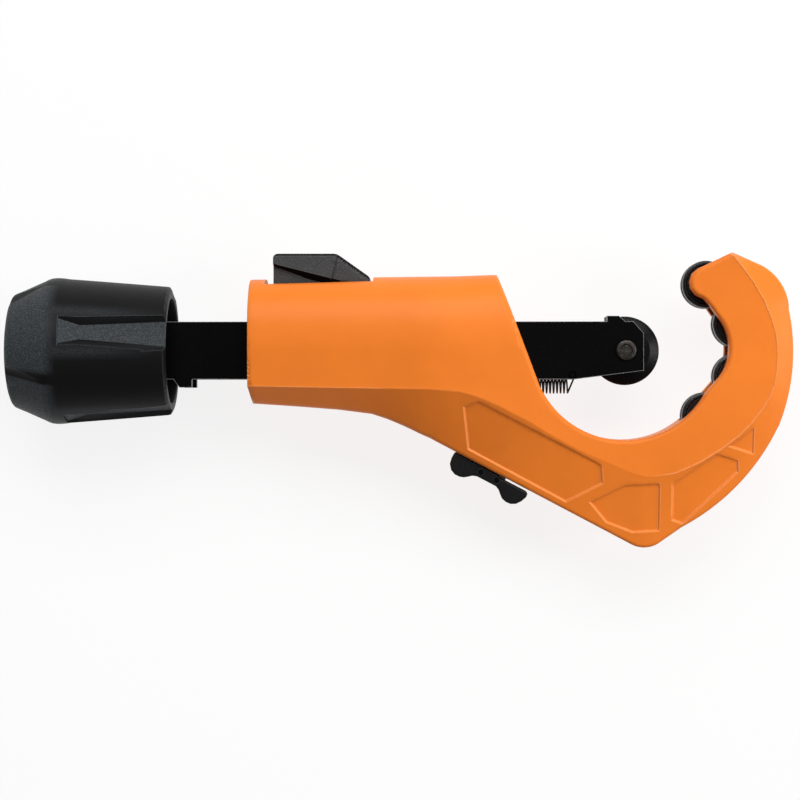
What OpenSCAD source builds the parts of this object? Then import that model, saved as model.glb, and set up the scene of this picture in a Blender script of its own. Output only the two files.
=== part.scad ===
// Pipe cutter lying on its side: X runs along the slide towards the hook, Y is the side of the thumb lever,
// Z is up. Shapes are drawn in the tool frame, whose X axis is the axis of the feed screw.

/* [Slide] */
// Height of the slide channel
slide_h = 19.4; // [18.8:0.2:19.6]
// Width of the slide channel
slide_w = 17; // [16.6:0.2:17.2]
// Wall of the slide channel
slide_wall = 2.5; // [2.3:0.1:2.6]
// Clearance between the slide and its passage in the frame
slide_gap = 0.3; // [0.2:0.05:0.35]

/* [Barrel] */
// Half width of the barrel at its widest
barrel_w = 18.5; // [17.5:0.5:20]
// Height of the barrel's top above the screw axis
barrel_top = 24.2; // [24:0.1:24.6]

/* [Hook] */
// Half thickness of the hook at its flat faces
hook_z = 10; // [9.5:0.25:10.5]
// Half thickness of the hook at its outer edge
edge_z = 6; // [5.5:0.25:7]

/* [Rollers] */
// Radius of a roller
roller_r = 8; // [7.5:0.1:8]
// Half width of a roller
roller_z = 4.8; // [4:0.1:4.8]
// Radius of a roller pin
roller_pin_r = 2.5; // [2:0.25:3]

/* [Wheel] */
// Radius of the cutting wheel
wheel_r = 11.7; // [11:0.1:11.7]
// Radius of the wheel pin
wheel_pin_r = 2.5; // [2:0.25:2.75]

/* [Feed] */
// Radius over the threads of the feed screw
screw_r = 4.6; // [4.4:0.1:4.8]
// Radius of the screw's journal in the end block
journal_r = 4; // [3.6:0.1:4]
// Radial running clearance of shafts
run_gap = 0.05; // [0.03:0.01:0.09]

/* [Knob] */
// Largest radius of the knob
knob_r = 24.9; // [24.5:0.1:25.5]
// Depth of the channels along the knob
channel_depth = 2.1; // [1.2:0.1:2.2]

/* [Lever] */
// Half width of the thumb lever
lever_z = 7; // [6.5:0.25:7.25]

/* [Deburrer] */
// Half width of the deburrer's thumb piece
thumb_z = 4.5; // [4:0.25:5.5]
// Half thickness of the deburring blade
blade_z = 0.8; // [0.6:0.1:0.9]

/* [Hidden] */
$fn = 64;

far = 60;                       // reaches past every face of the tool
slab = 0.2;                     // thickness of the sections that hulls join

// Outer contour of the hook
nose = [82.4, -57.3];
nose_r = 9.2;
sweep_low = [60, 6.5];
sweep_low_r = 74.8;
sweep_high = [65, -0.3];
sweep_high_r = 67.6;
crown = [113.7, 13.2];
crown_r = 17.5;
peak = [112.1, 33.1];           // corner at the very top of the hook
hook_right = sweep_high[0] + sweep_high_r;
hook_low = nose[1] - nose_r;

// Throat of the hook
floor_c = [75.5, 1];
floor_r = 31.2;
back_c = [94.3, 0.8];
back_r = 16.3;
front_top = [32.8, 25.8];       // ends of the barrel's sloping front edge
front_low = [47.3, -12.5];

// Rollers, from the hook's tip down
rollers = [[103.4, 22.3], [113.7, 9], [113.8, -8.9], [103.2, -22.1]];
roller_slot_z = roller_z + 0.4;
roller_room = roller_r + 0.6;
pin_skin = 2;                   // metal left over the blind end of a roller pin

// Barrel
barrel_rear = -50.6;
barrel_mid_y = 2;               // height at which the barrel is widest
barrel_power = 0.8;             // squareness of the barrel's round top
ridge_low = -12.1;              // height of the ridge along the rear of the barrel
edge_start = [10.3, -29.65];    // where the straight lower edge begins
edge_angle = -27.6;

// Slide and wheel
slide_front = 82.1;
slide_rear = -96;
channel_z = slide_w / 2 - slide_wall;
channel_top = slide_h / 2 - slide_wall;
wheel = [76.2, 0];
wheel_slot_z = 2.6;
wheel_room = wheel_r + 0.6;
retract = 29;                   // furthest that the wheel comes back from here
clip_z = 0.8;
clip_r = 4;

// Spring under the slide
spring_y = -11.7;
spring_r = 2.9;
spring_wire = 0.6;
spring_from = -18.6;
spring_to = 56.6;
front_pin = [58.2, -8.2];
anchor_pin = [-20, spring_y];
spring_room_z = spring_r + 0.5;
spring_room_low = -15.2;
spring_room_from = -29.5;

// Feed
block_front = -86;
screw_shoulder = -84.9;
screw_front = 12;
screw_rear = -118;
hub_front = -97.2;
hub_r = 8;
nut_from = -20;
nut_to = 0;
rail_from = -32;
rail_to = 13;
rail_z = 3;
rail_top = 9.2;
shoe_slot_from = -38.5;
shoe_slot_to = 21.5;

// Knob
knob_rear = -133.2;
knob_front = -77.6;
knob_taper = 4.6;
channels = 4;
channel_first = 15.5;           // angle of the first channel from Z towards Y
channel_rear = -112.5;
channel_w = [4, 5.5];           // half widths of a channel at its rear end and at the front
scallop_r = 7.6;
bolt_room_r = 6.5;
bolt_seat = -122;
bolt_head_r = 4.5;
bolt_r = 2.5;
bolt_end = -106;
cup_floor = -104;
cup_r = 17.8;

// Lever
lever_axis = [-27, 17.2];
lever_pin_r = 1.5;
pocket_floor = 12.5;
pocket_z = lever_z + 0.3;
lever_spring_x = -38.6;
lever_spring_r = 2.2;
lever_spring_top = 21;
shoe_x = [-20, -10.5];
shoe_low = rail_top + 0.15;

// Deburrer, in a frame with X along the lower edge of the hook and Y pointing into it
blade_from = 14;
blade_tip = 80.5;
blade_low = 1;
blade_high = 8.5;
blade_travel = 22;
rivets = [20.5, 26.5];
rivet_r = 1;
rivet_y = -2.2;

// Middle of the whole tool, which is the origin of the part
mid_x = (hook_right + knob_rear) / 2;
mid_y = (peak[1] + hook_low) / 2;

function arc(c, r, from, to, steps) =
    [for (i = [0:steps]) let (a = from + (to - from) * i / steps) c + r * [cos(a), sin(a)]];

// Moves a shape from the tool frame to the part's own frame
module place() {
    translate([-mid_x, -mid_y, knob_r]) children();
}

// Plate between two heights of the tool frame, from a drawing of its side
module plate(low, high) {
    translate([0, 0, low]) linear_extrude(high - low) children();
}

// Cylinder along X between two stations
module bar(from, to, r) {
    translate([from, 0, 0]) rotate([0, 90, 0]) cylinder(h = to - from, r = r);
}

// Cylinder along Z at a place on the side of the tool
module post(at, low, high, r) {
    translate([at[0], at[1], low]) cylinder(h = high - low, r = r);
}

// Box between two corners
module block(low, high) {
    translate(low) cube(high - low);
}

// Turns a profile of [radius, station] points about the X axis
module turned(points) {
    rotate([0, 90, 0]) rotate_extrude() polygon(points);
}

// Frame: X along the lower edge of the hook, Y into the hook
module along_edge() {
    translate([edge_start[0], edge_start[1], 0]) rotate([0, 0, edge_angle]) children();
}

// Cross-section of the barrel at station x
module section(x, top, half_w, ridge_y, ridge_w, low_y, low_w) {
    steps = 8;
    right = [for (i = [0:steps]) let (t = 90 * i / steps)
        [barrel_mid_y + (top - barrel_mid_y) * pow(sin(t), barrel_power),
         half_w * pow(abs(cos(t)), barrel_power)]];
    left = [for (i = [steps - 1:-1:0]) [right[i][0], -right[i][1]]];
    keel = [[ridge_y, -ridge_w], [low_y, -low_w], [low_y, low_w], [ridge_y, ridge_w]];
    translate([x, 0, 0]) rotate([90, 0, 90]) linear_extrude(slab) polygon(concat(right, left, keel));
}

module section_rear() {
    section(barrel_rear, barrel_top, barrel_w, ridge_low, barrel_w - 1.2, -17.9, 10);
}

module section_mid() {
    section(-9.3, barrel_top + 0.8, barrel_w, -12.8, barrel_w - 1.2, -21.2, 9);
}

module section_neck() {
    section(edge_start[0], barrel_top + 1, barrel_w - 0.5, -13.2, barrel_w - 1.7, edge_start[1], edge_z + 0.2);
}

module section_front() {
    section(47, barrel_top + 1.6, barrel_w - 3.5, -24, hook_z + 2.5, -26, hook_z + 2);
}

// Flat face of the hook, bounded by the ridge
module ridge_shape() {
    polygon(concat([[20, -13.7], [33, -18.5], [59, -32.8], [82, -42.5]],
        arc([79, 7.8], 50.8, -75, -30, 6), arc([88, -0.8], 38.8, -15, 50, 8),
        [peak - [0, 0.2], [98.5, 26.1], [97.4, 22]]));
}

// Outer contour of the hook
module outer_shape() {
    polygon(concat([edge_start], arc(nose, nose_r, -119, -60, 5), arc(sweep_low, sweep_low_r, -62, -24, 8),
        arc(sweep_high, sweep_high_r, -22, 12, 8), arc(crown, crown_r, 8, 62, 6), [peak, [10.3, -13]]));
}

// All that lies on the open side of the hook and in front of the barrel
module throat_shape() {
    polygon(concat([[20, far], front_top, front_low], arc(floor_c, floor_r, -148, -30, 20),
        arc(back_c, back_r, -44, 40, 12),
        [[104.1, 15.1], [102.2, 17.2], [99.4, 18.6], [97.8, 20.6], [97.4, 23], [98.3, 25.8], [100.4, 27.5]],
        [peak, [peak[0], far]]));
}

module hook_solid() {
    hull() {
        plate(-hook_z, hook_z) ridge_shape();
        plate(-edge_z, edge_z) outer_shape();
    }
}

module barrel_solid() {
    hull() {
        section_rear();
        section_mid();
    }
    hull() {
        section_mid();
        section_neck();
    }
    hull() {
        section_neck();
        section_front();
        plate(-hook_z, hook_z) polygon([[62, -24], [84, -30], [84, -42.5], [62, -34]]);
    }
}

// Passage for the slide, the wheel and the spring
module slide_passage() {
    gap = slide_h / 2 + slide_gap;
    gap_z = slide_w / 2 + slide_gap;
    block([barrel_rear - 5, -gap, -gap_z], [far, gap, gap_z]);
    block([wheel[0] - retract - wheel_room, -wheel_room, -wheel_slot_z], [far, wheel_room, wheel_slot_z]);
    block([spring_room_from, spring_room_low, -spring_room_z], [far, 0, spring_room_z]);
}

// Pocket and notch of the thumb lever
module lever_pocket() {
    plate(-far, far) polygon([[-45.5, 22.3], [-8.9, 23.3], [-8.9, far], [-45.5, far]]);
    block([-43.7, pocket_floor, -pocket_z], [-9.4, far, pocket_z]);
    block([shoe_x[0] - 1, 0, -rail_z - 0.6], [-9.4, far, rail_z + 0.6]);
    post(lever_axis, -far, pocket_z + 4, lever_pin_r);
}

// Gap between the two cheeks of the hook
module roller_slot() {
    plate(-roller_slot_z, roller_slot_z) polygon(concat(rollers, [[92, -14], [92, 14]]));
    for (at = rollers) post(at, -roller_slot_z, roller_slot_z, roller_room);
    for (at = rollers) post(at, -far, hook_z - pin_skin, roller_pin_r);
}

// Channel of the deburring blade and the leaf that holds it
module blade_slot() {
    gap = blade_z + 0.2;
    along_edge() {
        block([blade_from - 2, blade_low - 0.2, -gap], [far + 40, blade_high + 0.3, gap]);
        block([rivets[0] - 4, -5, -gap], [rivets[1] + 4 + blade_travel, blade_low, gap]);
        block([30, blade_high, -gap], [46, blade_high + 1.9, gap]);
    }
}

module frame_body() {
    color("darkorange") place() difference() {
        union() {
            barrel_solid();
            hook_solid();
        }
        plate(-far, far) throat_shape();
        slide_passage();
        lever_pocket();
        roller_slot();
        blade_slot();
        post(anchor_pin, -far, spring_room_z + 3, 1);
    }
}

module roller(at) {
    chamfer = 0.7;
    groove_z = 1.5;
    groove = 0.8;
    side = [[roller_pin_r + run_gap, -roller_z], [roller_r - chamfer, -roller_z],
        [roller_r, chamfer - roller_z], [roller_r, -groove_z], [roller_r - groove, groove - groove_z]];
    color("dimgray") place() translate([at[0], at[1], 0]) rotate_extrude()
        polygon(concat(side, [for (i = [len(side) - 1:-1:0]) [side[i][0], -side[i][1]]]));
}

module roller_pin(at) {
    color("gray") place() post(at, -hook_z, hook_z - pin_skin, roller_pin_r);
}

// Side of the slide, with its stop at the front and its tab at the rear
module slide_side() {
    h = slide_h / 2;
    polygon([[slide_rear, -h], [-76.3, -h], [-74.2, -12.5], [-70, -12.5], [-70, -h], [59, -h],
        [slide_front, -6.8], [slide_front, 5.7], [78.6, h], [75.9, h], [73.7, h + 1.9], [69.8, h + 1.9],
        [69.8, h], [slide_rear, h]]);
}

module slide_bar() {
    color("#16181a") place() difference() {
        plate(-slide_w / 2, slide_w / 2) slide_side();
        block([slide_rear - 1, -far, -channel_z], [far + 40, channel_top, channel_z]);
        block([62, 0, -wheel_slot_z], [far + 40, far, wheel_slot_z]);
        block([shoe_slot_from, 0, -rail_z - 0.5], [shoe_slot_to, far, rail_z + 0.5]);
        post(wheel, -far, far, wheel_pin_r);
        post(front_pin, -far, far, 0.9);
        for (y = [-6.8, 5.7]) post([-91, y], -far, far, 1.25);
    }
}

module cutter_wheel() {
    hub_z = channel_z - 0.3;
    side = [[wheel_pin_r + run_gap, hub_z], [5.4, hub_z], [5.4, 1.7], [8.4, 1.7], [11, 0.5]];
    color("#26282a") place() translate([wheel[0], wheel[1], 0]) rotate_extrude()
        polygon(concat(side, [[wheel_r, 0]], [for (i = [len(side) - 1:-1:0]) [side[i][0], -side[i][1]]]));
}

module wheel_pin() {
    z = slide_w / 2;
    color("gray") place() {
        post(wheel, -z - clip_z - 0.8, z, wheel_pin_r);
        post(wheel, z, z + 1.1, 3.4);
    }
}

module wheel_clip() {
    z = slide_w / 2;
    color("silver") place() difference() {
        post(wheel, -z - clip_z, -z, clip_r);
        post(wheel, -z - 1, -z + 1, wheel_pin_r);
        block([wheel[0], wheel[1] - 1.4, -z - 1], [wheel[0] + 6, wheel[1] + 1.4, -z + 1]);
    }
}

module slide_spring() {
    color("#101010") place() translate([0, spring_y, 0]) difference() {
        bar(spring_from, spring_to, spring_r);
        bar(spring_from - 1, spring_to + 1, spring_r - spring_wire);
    }
}

module spring_front_pin() {
    color("gray") place() post(front_pin, -slide_w / 2, slide_w / 2, 0.9);
}

module spring_anchor_pin() {
    color("gray") place() post(anchor_pin, -15.5, spring_room_z + 3, 1);
}

module feed_screw() {
    tip = 1.2;
    color("silver") place() turned([[bolt_r, screw_rear], [journal_r, screw_rear],
        [journal_r, screw_shoulder], [screw_r, screw_shoulder], [screw_r, screw_front - tip],
        [screw_r - tip, screw_front], [0, screw_front], [0, bolt_end], [bolt_r, bolt_end]]);
}

module nut_block() {
    z = channel_z - 0.2;
    color("goldenrod") place() difference() {
        union() {
            block([nut_from, -5.6, -z], [nut_to, channel_top - 0.2, z]);
            block([rail_from, screw_r + 0.6, -z], [rail_to, channel_top - 0.2, z]);
            block([rail_from, screw_r + 0.6, -rail_z], [rail_to, rail_top, rail_z]);
        }
        bar(rail_from - 1, rail_to + 1, screw_r + run_gap);
    }
}

module end_block() {
    color("slategray") place() difference() {
        block([slide_rear, -slide_h / 2, -channel_z], [block_front, channel_top, channel_z]);
        bar(slide_rear - 1, block_front + 1, journal_r + run_gap);
        for (y = [-6.8, 5.7]) post([-91, y], -far, far, 1.25);
    }
}

module end_block_pins() {
    color("gray") place() for (y = [-6.8, 5.7]) post([-91, y], -slide_w / 2, slide_w / 2, 1.25);
}

module thrust_washer(from, to) {
    color("gainsboro") place() difference() {
        bar(from, to, 5.8);
        bar(from - 1, to + 1, journal_r);
    }
}

module thrust_washer_front() {
    thrust_washer(block_front + 0.08, screw_shoulder);
}

module thrust_washer_rear() {
    thrust_washer(hub_front, slide_rear - 0.08);
}

// One channel along the knob's tapered side, with its middle on the Z axis
module knob_channel() {
    length = knob_front - channel_rear + 1;
    translate([channel_rear, 0, knob_r - channel_depth]) rotate([0, knob_taper, 0]) linear_extrude(10)
        polygon([[0, -channel_w[0]], [length, -channel_w[1]], [length, channel_w[1]], [0, channel_w[0]]]);
}

// One scallop in the knob's rear shoulder, with its middle on the Z axis
module knob_scallop() {
    translate([-131.5, 0, knob_r + 1.3]) rotate([0, -30, 0]) bar(-15, 16, scallop_r);
}

module knob_shell() {
    color("#1c1c1e") place() difference() {
        turned([[0, knob_rear], [14, knob_rear + 0.6], [18.2, knob_rear + 1.7], [19.6, knob_rear + 3],
            [knob_r - 0.4, -119.4], [knob_r, -118.4], [knob_r, -115.9], [21.9, -79.6], [21.2, -78.2],
            [20, knob_front], [cup_r, knob_front], [cup_r - 1, cup_floor], [0, cup_floor]]);
        bar(screw_rear, cup_floor + 1, hub_r);
        bar(knob_rear - 1, bolt_seat, bolt_room_r);
        bar(bolt_seat - 1, screw_rear + 1, bolt_r + 0.1);
        for (i = [0:channels - 1]) rotate([-channel_first - i * 360 / channels, 0, 0]) knob_channel();
        for (i = [0:channels - 1]) rotate([-channel_first - (i + 0.5) * 360 / channels, 0, 0]) knob_scallop();
    }
}

module knob_insert() {
    color("slategray") place() difference() {
        bar(screw_rear, hub_front, hub_r);
        bar(screw_rear - 1, hub_front + 1, journal_r);
    }
}

module knob_bolt() {
    head = 4;
    color("gray") place() difference() {
        union() {
            bar(bolt_seat - head, bolt_seat, bolt_head_r);
            bar(bolt_seat, bolt_end, bolt_r);
        }
        translate([bolt_seat - head - 1, 0, 0]) rotate([0, 90, 0]) cylinder(h = 3.2, r = 2.3, $fn = 6);
    }
}

module knob_plug() {
    color("#1c1c1e") place() turned([[0, knob_rear], [bolt_room_r, knob_rear + 0.3],
        [bolt_room_r, knob_rear + 4], [bolt_room_r - 1.5, knob_rear + 4], [bolt_room_r - 1.5, knob_rear + 2.2],
        [0, knob_rear + 2.2]]);
}

// Side of the thumb lever
module lever_side() {
    polygon([[-42.8, 16], [-42.8, 31.6], [-42.1, 32.5], [-41, 32.8], [-21.6, 32.8], [-20.6, 32.3],
        [-10.6, 25.2], [-10.2, 24.2], [-10.2, 14.5], [-21, 14.5], [-21, 13.4], [-31, 13.4]]);
}

module release_lever() {
    color("#444446") place() difference() {
        plate(-lever_z, lever_z) lever_side();
        post(lever_axis, -far, far, lever_pin_r + run_gap);
        block([shoe_x[0], shoe_low, -rail_z - 0.2], [shoe_x[1], 17.5, rail_z + 0.2]);
        translate([lever_spring_x, 10, 0]) rotate([-90, 0, 0])
            cylinder(h = lever_spring_top - 10, r = lever_spring_r + 0.5);
    }
}

module lever_pin() {
    color("gray") place() post(lever_axis, -13.5, pocket_z + 4, lever_pin_r);
}

module lever_spring() {
    color("silver") place() translate([lever_spring_x, pocket_floor, 0]) rotate([-90, 0, 0]) difference() {
        cylinder(h = lever_spring_top - pocket_floor, r = lever_spring_r);
        translate([0, 0, -1]) cylinder(h = 20, r = lever_spring_r - 0.5);
    }
}

module lock_shoe() {
    color("gray") place() block([shoe_x[0], shoe_low, -rail_z - 0.2], [shoe_x[1], 17.5, rail_z + 0.2]);
}

// Side of the thumb piece: two round lobes and a waist
module thumb_side() {
    polygon(concat([[9.6, -0.35], [9.5, -3.6]], arc([14, -3.1], 4, 187, 300, 6),
        [[18.6, -4.5], [20, -4.1], [27.2, -4.1], [28.6, -4.8], [30.2, -6.4]],
        arc([33.4, -3.2], 4, 250, 350, 6), [[37.3, -1.4], [36.6, -0.9], [27, -0.9], [26, -0.35]]));
}

// The blade's own outline, with the tab that the thumb piece is riveted to
module blade_side() {
    polygon([[blade_from, blade_low], [rivets[0] - 2.6, blade_low], [rivets[0] - 2.6, -3.6],
        [rivets[1] + 2.6, -3.6], [rivets[1] + 2.6, blade_low], [blade_tip, blade_low],
        [blade_tip - 11, blade_high], [blade_from, blade_high]]);
}

module rivet_holes() {
    for (x = rivets) post([x, rivet_y], -far, far, rivet_r);
}

module deburr_slider() {
    color("#161616") place() along_edge() difference() {
        plate(-thumb_z, thumb_z) thumb_side();
        plate(-blade_z, blade_z) blade_side();
        rivet_holes();
    }
}

module deburr_blade() {
    color("silver") place() along_edge() difference() {
        plate(-blade_z, blade_z) blade_side();
        rivet_holes();
    }
}

module deburr_rivets() {
    color("gray") place() along_edge() for (x = rivets) post([x, rivet_y], -thumb_z, thumb_z, rivet_r);
}

module deburr_detent() {
    color("silver") place() along_edge() block([30.3, blade_high + 0.7, -blade_z], [45.7, blade_high + 1.3, blade_z]);
}

frame_body();
roller(rollers[0]);  // roller_1
roller(rollers[1]);  // roller_2
roller(rollers[2]);  // roller_3
roller(rollers[3]);  // roller_4
roller_pin(rollers[0]);  // roller_pin_1
roller_pin(rollers[1]);  // roller_pin_2
roller_pin(rollers[2]);  // roller_pin_3
roller_pin(rollers[3]);  // roller_pin_4
slide_bar();
cutter_wheel();
wheel_pin();
wheel_clip();
slide_spring();
spring_front_pin();
spring_anchor_pin();
feed_screw();
nut_block();
end_block();
end_block_pins();
thrust_washer_front();
thrust_washer_rear();
knob_shell();
knob_insert();
knob_bolt();
knob_plug();
release_lever();
lever_pin();
lever_spring();
lock_shoe();
deburr_slider();
deburr_blade();
deburr_rivets();
deburr_detent();
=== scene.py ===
import math

import bmesh
import bpy
import numpy as np
from mathutils import Matrix, Vector
from mathutils.geometry import delaunay_2d_cdt


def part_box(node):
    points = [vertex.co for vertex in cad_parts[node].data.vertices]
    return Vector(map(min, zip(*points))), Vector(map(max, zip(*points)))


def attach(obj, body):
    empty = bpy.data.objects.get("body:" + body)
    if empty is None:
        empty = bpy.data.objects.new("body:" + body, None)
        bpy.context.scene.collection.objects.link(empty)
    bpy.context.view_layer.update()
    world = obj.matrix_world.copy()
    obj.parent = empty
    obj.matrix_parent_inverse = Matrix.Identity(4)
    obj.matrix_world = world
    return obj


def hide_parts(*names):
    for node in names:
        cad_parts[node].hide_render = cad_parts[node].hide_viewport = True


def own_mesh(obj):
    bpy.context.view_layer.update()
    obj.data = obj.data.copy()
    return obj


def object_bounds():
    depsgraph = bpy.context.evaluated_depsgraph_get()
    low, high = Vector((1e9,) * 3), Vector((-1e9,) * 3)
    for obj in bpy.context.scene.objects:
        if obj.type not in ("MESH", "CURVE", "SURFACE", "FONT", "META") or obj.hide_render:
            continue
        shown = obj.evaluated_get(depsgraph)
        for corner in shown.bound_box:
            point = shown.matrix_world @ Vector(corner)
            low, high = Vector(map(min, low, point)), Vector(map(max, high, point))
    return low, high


# Shapes are made in millimetres in the tool frame, whose X axis is the feed screw's. done() moves them to the
# part's frame. Z is up and points at the camera.

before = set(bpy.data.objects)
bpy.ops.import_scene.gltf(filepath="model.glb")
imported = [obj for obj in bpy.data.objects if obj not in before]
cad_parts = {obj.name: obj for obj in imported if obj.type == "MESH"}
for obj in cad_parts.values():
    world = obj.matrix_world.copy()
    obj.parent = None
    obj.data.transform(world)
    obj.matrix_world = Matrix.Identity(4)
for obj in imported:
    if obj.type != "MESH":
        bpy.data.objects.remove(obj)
cad_low, cad_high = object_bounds()
MM = 0.001
FAR = 60
WHEEL_X = 76.2
ROLLERS = [(103.4, 22.3), (113.7, 9), (113.8, -8.9), (103.2, -22.1)]
LEVER_PIN = (-27, 17.2)
LEVER_SPRING_X = -38.6
SPRING_ANCHOR = (-20, -11.7)
SPRING_FRONT = (58.2, -8.2)
SLIDE_HALF_W = 8.5
wheel_low, wheel_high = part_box("cutter_wheel")
ORIGIN = (wheel_low + wheel_high) / 2 - Vector((WHEEL_X * MM, 0, 0))
TO_PART = Matrix.Translation(ORIGIN) @ Matrix.Scale(MM, 4)
scene = bpy.context.scene


# ---------------------------------------------------------------- materials

def node(tree, kind, **settings):
    """A shader node with its settings, and its inputs by name or index in `inputs`."""
    inputs = settings.pop("inputs", {})
    made = tree.nodes.new(kind)
    for key, value in settings.items():
        setattr(made, key, value)
    for key, value in inputs.items():
        if isinstance(value, bpy.types.NodeSocket):
            tree.links.new(value, made.inputs[key])
        else:
            made.inputs[key].default_value = value
    return made


def mixed(tree, share, a, b):
    """Colour between a and b."""
    made = node(tree, "ShaderNodeMix", data_type="RGBA", inputs={0: share, 6: a, 7: b})
    return made.outputs[2]


def ramp(tree, value, low, high, to_low=0.0, to_high=1.0):
    made = node(tree, "ShaderNodeMapRange", inputs={"Value": value, "From Min": low, "From Max": high,
                                                    "To Min": to_low, "To Max": to_high})
    return made.outputs["Result"]


def shade(colour, factor):
    return tuple(min(1.0, c * factor) for c in colour) + (1.0,)


def edge_wear_and_highlight_mask(tree, width, sharp):
    """1 on edges, whatever the mesh density; `sharp` is how far the rounded normal must turn."""
    rounded = node(tree, "ShaderNodeBevel", samples=6, inputs={"Radius": width * MM})
    facing = node(tree, "ShaderNodeVectorMath", operation="DOT_PRODUCT",
                  inputs={0: rounded.outputs[0], 1: node(tree, "ShaderNodeNewGeometry").outputs["Normal"]})
    return ramp(tree, facing.outputs["Value"], 1 - 0.15 * sharp, 1 - sharp)


ROUGHNESS_SPREAD = 0.08


def material(name, colour, rough, metal=0.0, vary=0.12, grain=900.0, bump=0.1, depth=0.15, edge_wear_and_highlight=None,
             edge=0.35, sharp=0.1, coat=0.0, specular=0.5, speckle=0.0, turned_at=None, textured=None):
    """A procedural finish: broad colour variation, fine grain in roughness and bump, lighter edges and turned
    rings. The lighter edges are wear on some finishes and painted highlight on others. depth, of the grain,
    and edge, the width of the lighter edges, are in millimetres."""
    made = bpy.data.materials.new(name)
    made.use_nodes = True
    tree = made.node_tree
    bsdf = tree.nodes["Principled BSDF"]
    where = node(tree, "ShaderNodeTexCoord").outputs["Object"]
    broad = node(tree, "ShaderNodeTexNoise", inputs={"Vector": where, "Scale": 38.0, "Detail": 4.0,
                                                     "Roughness": 0.6}).outputs["Fac"]
    fine = node(tree, "ShaderNodeTexNoise", inputs={"Vector": where, "Scale": grain, "Detail": 3.0,
                                                    "Roughness": 0.65}).outputs["Fac"]
    tone = mixed(tree, ramp(tree, broad, 0.3, 0.7), shade(colour, 1 - vary), shade(colour, 1 + vary))
    if speckle:
        spots = ramp(tree, fine, 0.52, 0.72, 0.0, 1.0)
        tone = mixed(tree, spots, tone, shade([c + speckle for c in colour], 1.0))
    share = None
    if textured:
        share = node(tree, "ShaderNodeAttribute", attribute_name="grain").outputs["Fac"]
        spots = ramp(tree, fine, 0.45, 0.7)
        rough_tone = mixed(tree, spots, shade(textured, 0.75), shade(textured, 2.2))
        tone = mixed(tree, share, tone, rough_tone)
    # Lighter edges: wear on some finishes, and on others a painted highlight where light would catch the
    # edges.
    if edge_wear_and_highlight:
        patchy = ramp(tree, fine, 0.35, 0.6, 0.5, 1.0)
        edge_mark = edge_wear_and_highlight_mask(tree, edge, sharp)
        amount = node(tree, "ShaderNodeMath", operation="MULTIPLY", inputs={0: edge_mark, 1: patchy})
        tone = mixed(tree, amount.outputs[0], tone, edge_wear_and_highlight + (1.0,))
    tree.links.new(tone, bsdf.inputs["Base Color"])
    height = fine
    if turned_at:
        ring = node(tree, "ShaderNodeVectorMath", operation="SUBTRACT", inputs={0: where, 1: turned_at})
        wave = node(tree, "ShaderNodeTexWave", wave_type="RINGS", rings_direction="Z",
                    inputs={"Vector": ring.outputs[0], "Scale": 900.0, "Distortion": 0.6, "Detail": 2.0})
        height = node(tree, "ShaderNodeMath", operation="ADD",
                      inputs={0: fine, 1: wave.outputs["Fac"]}).outputs[0]
    shine = ramp(tree, fine, 0.3, 0.7, rough - ROUGHNESS_SPREAD, rough + ROUGHNESS_SPREAD)
    if share:
        shine = node(tree, "ShaderNodeMix", data_type="FLOAT", inputs={0: share, 2: shine, 3: 0.5}).outputs[0]
        bump = ramp(tree, share, 0, 1, bump, 0.9)
    tree.links.new(shine, bsdf.inputs["Roughness"])
    relief = node(tree, "ShaderNodeBump", inputs={"Strength": bump, "Distance": depth * MM, "Height": height})
    tree.links.new(relief.outputs["Normal"], bsdf.inputs["Normal"])
    bsdf.inputs["Metallic"].default_value = metal
    bsdf.inputs["Specular IOR Level"].default_value = specular
    if coat:
        bsdf.inputs["Coat Weight"].default_value = coat
        bsdf.inputs["Coat Roughness"].default_value = 0.25
    return made


ORANGE = (0.89, 0.222, 0.027)
wheel_centre = ORIGIN + Vector((WHEEL_X * MM, 0, 0))
# The paint's lighter orange edge colour is painted highlight along the ridges, panel edges and fillets, not
# wear.
paint = material("orange_paint", ORANGE, 0.4, vary=0.05, grain=1300, bump=0.12, depth=0.1,
                 edge_wear_and_highlight=(1.0, 0.38, 0.13), edge=0.6, sharp=0.02, coat=0.05, specular=0.1)
# The light grey on the slide's edges is partly wear of the oxide and partly painted highlight along the
# edges.
black_steel = material("black_oxide", (0.0016, 0.0016, 0.0018), 0.34, vary=0.25, grain=1500, bump=0.05,
                       edge_wear_and_highlight=(0.5, 0.5, 0.51), edge=0.33, specular=0.08)
dark_steel = material("dark_steel", (0.006, 0.006, 0.0065), 0.32, metal=0.4, specular=0.16, grain=1200,
                      bump=0.1, edge_wear_and_highlight=(0.4, 0.4, 0.42), turned_at=wheel_centre)
roller_steel = material("roller_steel", (0.02, 0.02, 0.022), 0.35, metal=0.8, grain=1200, bump=0.1,
                        edge_wear_and_highlight=(0.3, 0.3, 0.32))
pin_steel = material("pin_steel", (0.045, 0.04, 0.035), 0.42, metal=0.8, vary=0.25, grain=900, bump=0.6,
                     speckle=0.05)
bright_steel = material("bright_steel", (0.5, 0.5, 0.51), 0.3, metal=1.0, grain=1600, bump=0.12,
                        edge_wear_and_highlight=(0.75, 0.75, 0.76))
grey_steel = material("grey_steel", (0.2, 0.205, 0.21), 0.4, metal=0.9, grain=1300, bump=0.2,
                      edge_wear_and_highlight=(0.5, 0.5, 0.5))
pin_black = material("pin_black", (0.0022, 0.0022, 0.0024), 0.36, vary=0.25, grain=1500, bump=0.05,
                     specular=0.08)
spring_wire = material("spring_wire", (0.02, 0.02, 0.022), 0.35, metal=0.6, grain=1800, bump=0.1)
bronze = material("nut_bronze", (0.45, 0.27, 0.09), 0.38, metal=1.0, vary=0.2, grain=1100, bump=0.15,
                  edge_wear_and_highlight=(0.7, 0.48, 0.2))
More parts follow.
